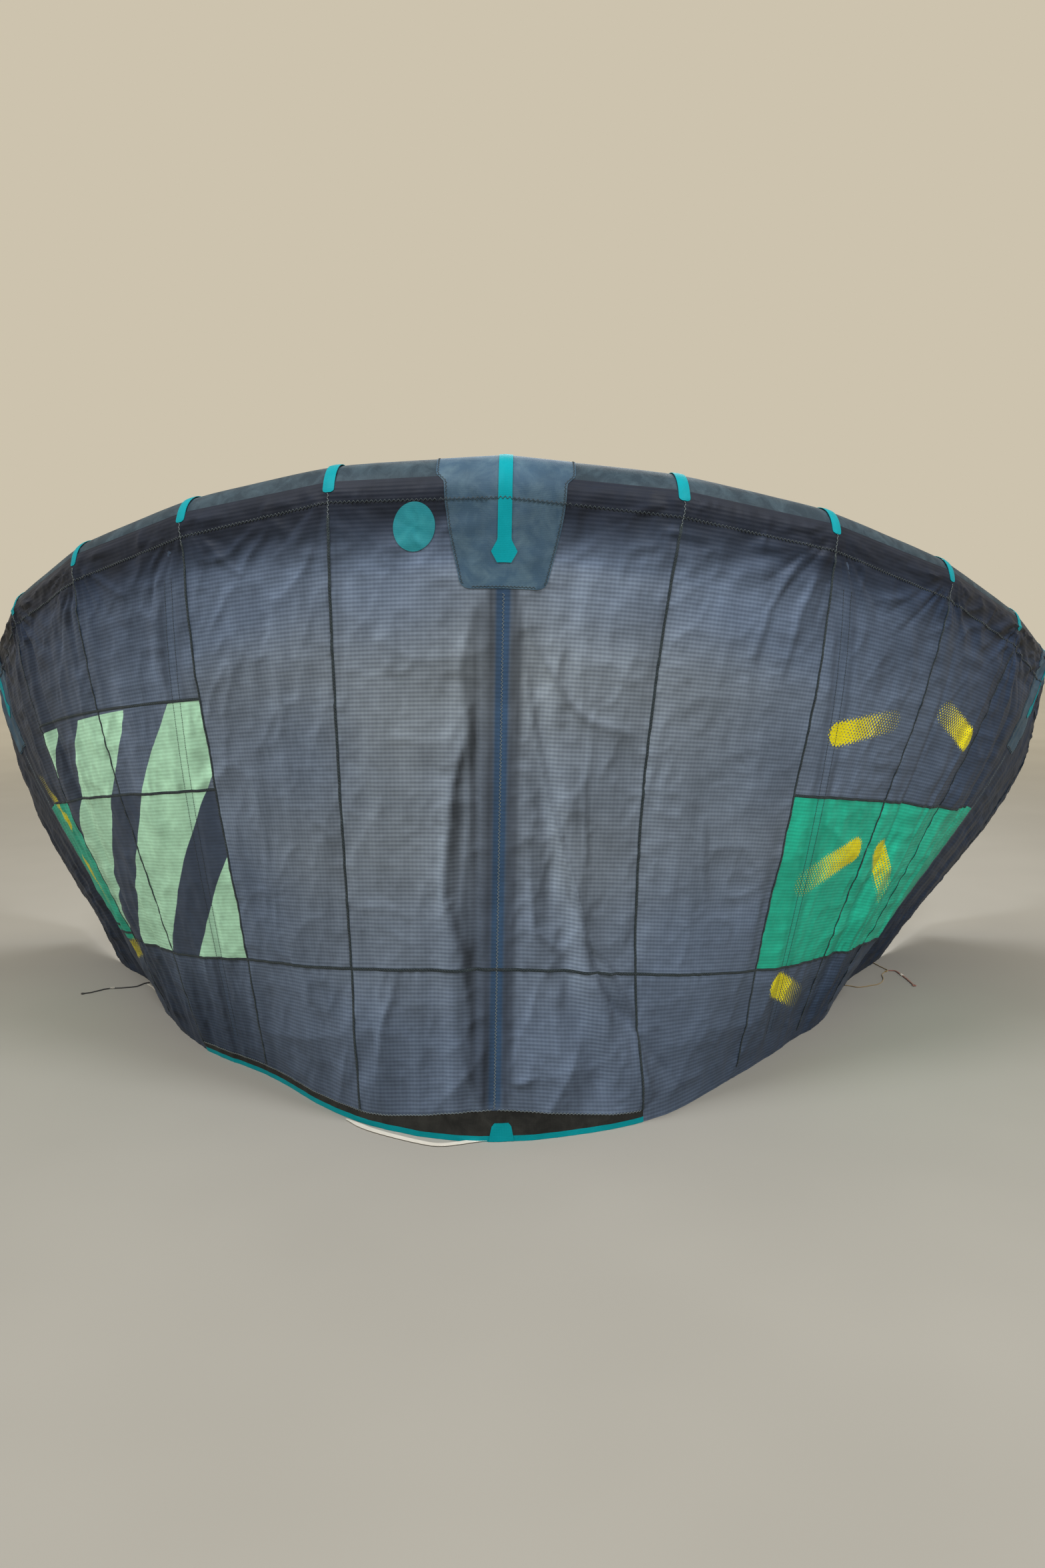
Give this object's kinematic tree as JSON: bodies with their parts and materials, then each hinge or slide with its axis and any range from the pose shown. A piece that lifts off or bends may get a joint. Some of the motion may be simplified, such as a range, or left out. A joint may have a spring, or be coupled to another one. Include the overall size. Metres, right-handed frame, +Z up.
{
  "type": "kitesurfing kite",
  "caption": "Inflated leading-edge kite of sewn sailcloth panels on a curved tube and struts, standing on its trailing edge.",
  "frame": {"origin": "middle of the kite's box, on the floor that it stands on", "axes": "+X to the kite's right as seen from outside, +Y back towards the wing tips, +Z up"},
  "size_m": [3.8587, 2.1113, 1.624],
  "materials": {
    "canopy_navy": "woven ripstop cloth, slightly sheer",
    "canopy_mint": "woven ripstop cloth, slightly sheer",
    "canopy_green": "woven ripstop cloth, slightly sheer",
    "sailcloth_slate": "stiff coated sailcloth",
    "strut_cloth": "stiff coated sailcloth",
    "webbing_turquoise": "woven tape and coated patches",
    "band_black": "matte laminated tape",
    "cord_dark": "braided cord",
    "cord_tan": "thin braided line",
    "cord_red": "braided cord"
  },
  "bodies": {
    "root": {"band_left": "band_black", "band_right": "band_black", "bridle_right": "cord_tan", "canopy_left_first_lower": "canopy_navy", "canopy_left_first_upper": "canopy_navy", "canopy_left_fourth_lower": "canopy_navy", "canopy_left_fourth_middle": "canopy_mint", "canopy_left_fourth_top": "canopy_navy", "canopy_left_outer_lower": "canopy_green", "canopy_left_outer_top": "canopy_navy", "canopy_left_second_lower": "canopy_navy", "canopy_left_second_upper": "canopy_navy", "canopy_left_third_lower": "canopy_navy", "canopy_left_third_middle": "canopy_mint", "canopy_left_third_top": "canopy_navy", "canopy_left_tip": "canopy_navy", "canopy_right_first_lower": "canopy_navy", "canopy_right_first_upper": "canopy_navy", "canopy_right_fourth_lower": "canopy_navy", "canopy_right_fourth_middle": "canopy_green", "canopy_right_fourth_top": "canopy_navy", "canopy_right_outer_lower": "canopy_green", "canopy_right_outer_top": "canopy_navy", "canopy_right_second_lower": "canopy_navy", "canopy_right_second_upper": "canopy_navy", "canopy_right_third_lower": "canopy_navy", "canopy_right_third_middle": "canopy_green", "canopy_right_third_top": "canopy_navy", "canopy_right_tip": "canopy_navy", "leading_edge_left_inner": "sailcloth_slate", "leading_edge_left_middle": "sailcloth_slate", "leading_edge_left_outer": "sailcloth_slate", "leading_edge_right_inner": "sailcloth_slate", "leading_edge_right_middle": "sailcloth_slate", "leading_edge_right_outer": "sailcloth_slate", "patch_centre": "sailcloth_slate", "patch_left_outer": "sailcloth_slate", "patch_right_outer": "sailcloth_slate", "patch_round": "webbing_turquoise", "patch_trailing_edge": "webbing_turquoise", "pigtail_left": "cord_dark", "pigtail_right": "cord_red", "strap_centre": "webbing_turquoise", "strap_left_1": "webbing_turquoise", "strap_left_2": "webbing_turquoise", "strap_left_3": "webbing_turquoise", "strap_left_4": "webbing_turquoise", "strap_left_outer": "webbing_turquoise", "strap_right_1": "webbing_turquoise", "strap_right_2": "webbing_turquoise", "strap_right_3": "webbing_turquoise", "strap_right_4": "webbing_turquoise", "strap_right_outer": "webbing_turquoise", "strut_centre": "strut_cloth", "strut_left_middle": "strut_cloth", "strut_left_outer": "strut_cloth", "strut_right_middle": "strut_cloth", "strut_right_outer": "strut_cloth", "tape_left": "webbing_turquoise", "tape_right": "webbing_turquoise"}
  },
  "joints": []
}
